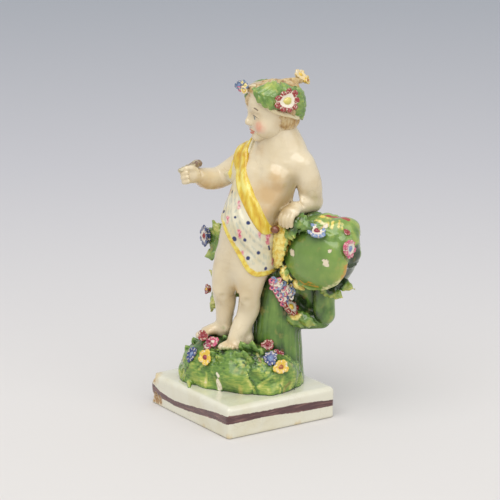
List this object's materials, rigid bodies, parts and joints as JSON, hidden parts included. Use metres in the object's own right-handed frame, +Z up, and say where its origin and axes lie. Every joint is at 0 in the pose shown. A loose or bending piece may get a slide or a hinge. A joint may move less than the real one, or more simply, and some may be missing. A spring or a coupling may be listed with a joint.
{
  "type": "pearlware figure",
  "caption": "Glazed pottery figure of a wreathed child in a spotted sash, leaning on a leafy horn of plenty on a stump, on a grassy mound and a rectangular plinth.",
  "frame": {"origin": "middle of the plinth's underside", "axes": "+Z up, -Y out of the plinth's front long side, +X towards the horn of plenty"},
  "size_m": [0.0791, 0.0676, 0.1499],
  "materials": {
    "painted_pearlware": "glossy lead glaze over hand-painted green, yellow, blue, pink and brown"
  },
  "bodies": {
    "root": {"pearlware_figure": "painted_pearlware"}
  },
  "joints": []
}
